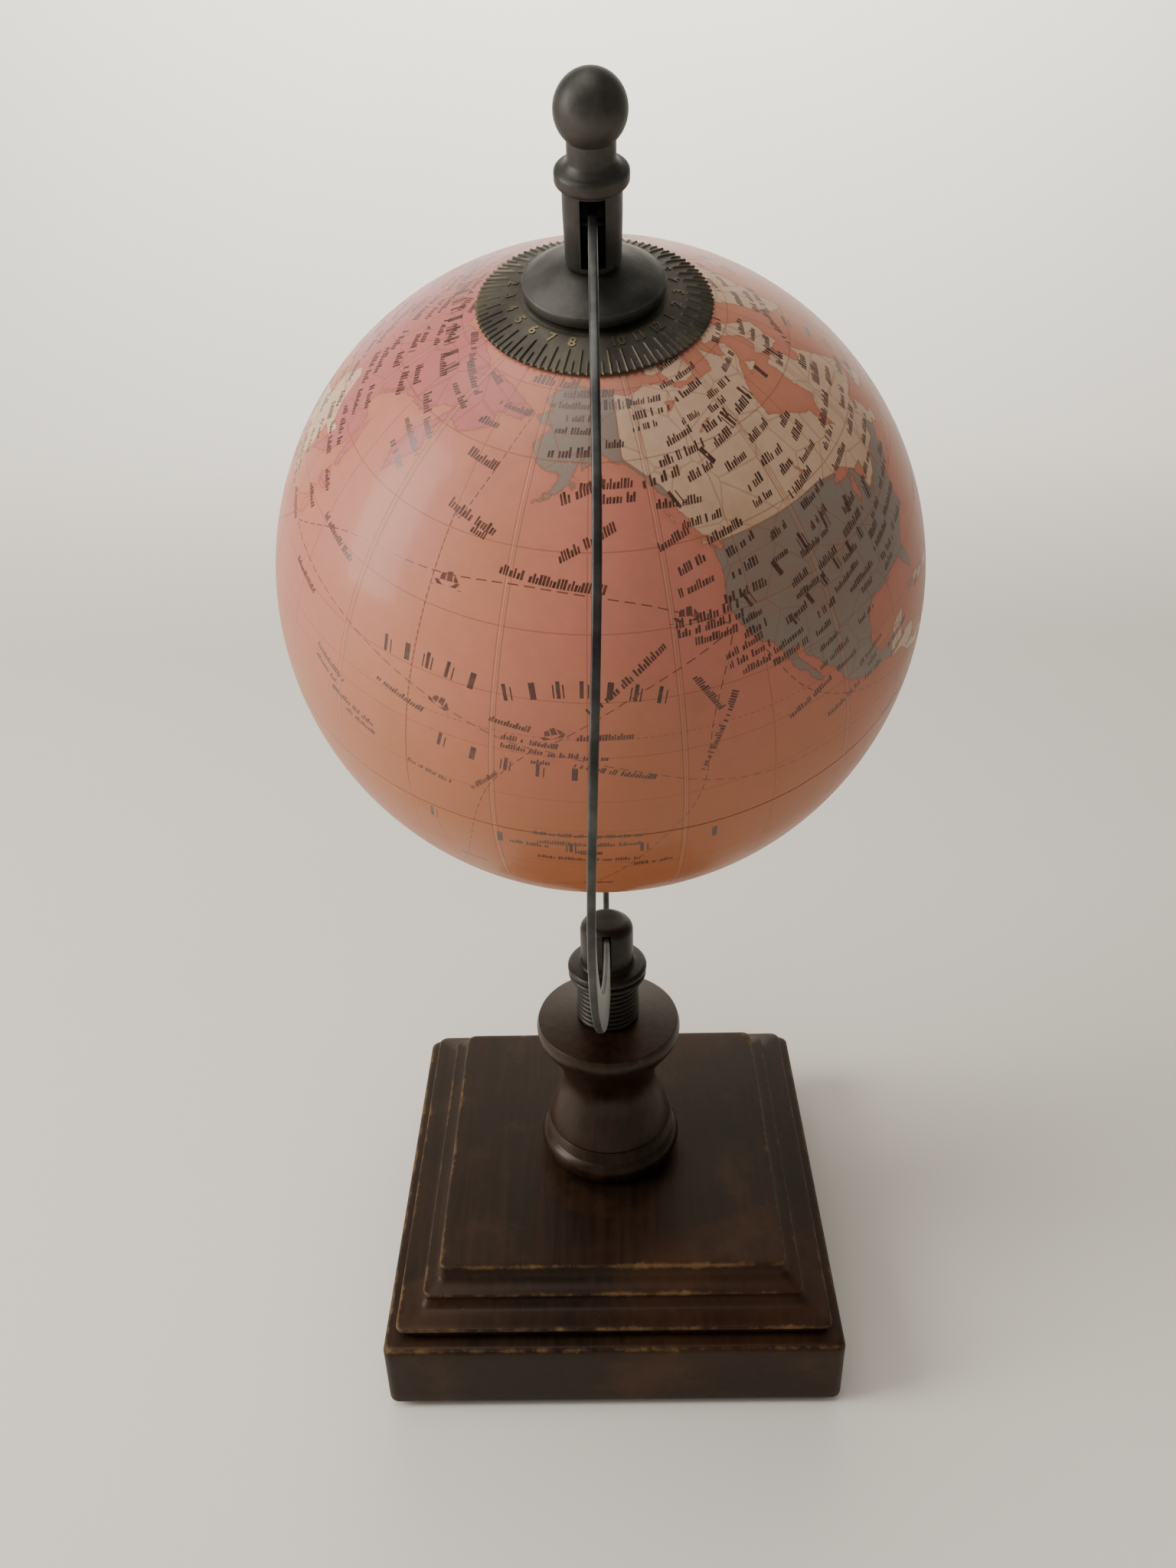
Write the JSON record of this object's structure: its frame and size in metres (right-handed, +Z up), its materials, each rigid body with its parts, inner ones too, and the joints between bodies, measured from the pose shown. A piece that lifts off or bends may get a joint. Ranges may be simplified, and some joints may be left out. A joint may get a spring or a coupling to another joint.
{
  "type": "desktop globe",
  "caption": "Desktop globe that spins on a tilted axle in a dark metal meridian arm, with a toothed hour dial, on a turned pedestal and stepped square wooden base.",
  "frame": {"origin": "centre of the base's underside, on the table", "axes": "+Z up, -Y to the front, where the meridian arm curves out and the north pole leans, +X to the right of someone facing the front"},
  "size_m": [0.15, 0.1734, 0.3285],
  "materials": {
    "stained_wood": "dark espresso stain, satin, worn to tan along the edges",
    "dark_bronze": "dark bronze patina, satin",
    "dial_bronze": "blackened brass with worn high spots",
    "steel": "plain",
    "printed_globe": "varnished printed paper, salmon sea, semi-gloss",
    "card": "raw grey-brown card",
    "bush_plastic": "black, matte",
    "felt": "dark felt"
  },
  "bodies": {
    "stand": {"felt_sheet": "felt", "plinth": "stained_wood", "moulded_block": "stained_wood", "pedestal": "stained_wood", "tie_bolt": "steel", "tie_washer": "steel", "arm_socket": "dark_bronze", "socket_cross_pin": "steel", "meridian_arm": "dark_bronze", "axle_rod": "steel", "finial": "dark_bronze", "north_cross_pin": "steel", "dome_cap": "dark_bronze", "south_stem": "dark_bronze", "south_cross_pin": "steel", "south_thrust_washer": "bush_plastic"},
    "globe": {"north_hemisphere": "printed_globe", "south_hemisphere": "printed_globe", "equator_hoop": "card", "north_bush": "bush_plastic", "south_bush": "bush_plastic"},
    "dial": {"hour_dial": "dial_bronze"}
  },
  "joints": [
    {"name": "globe_spin", "type": "hinge", "parent": "stand", "child": "globe", "pos_m": [0, 0, 0.2226], "axis": [0, -0.3987, 0.9171], "continuous": true},
    {"name": "dial_turn", "type": "hinge", "parent": "globe", "child": "dial", "pos_m": [0, 0, 0.2226], "axis": [0, -0.3987, 0.9171], "continuous": true}
  ]
}
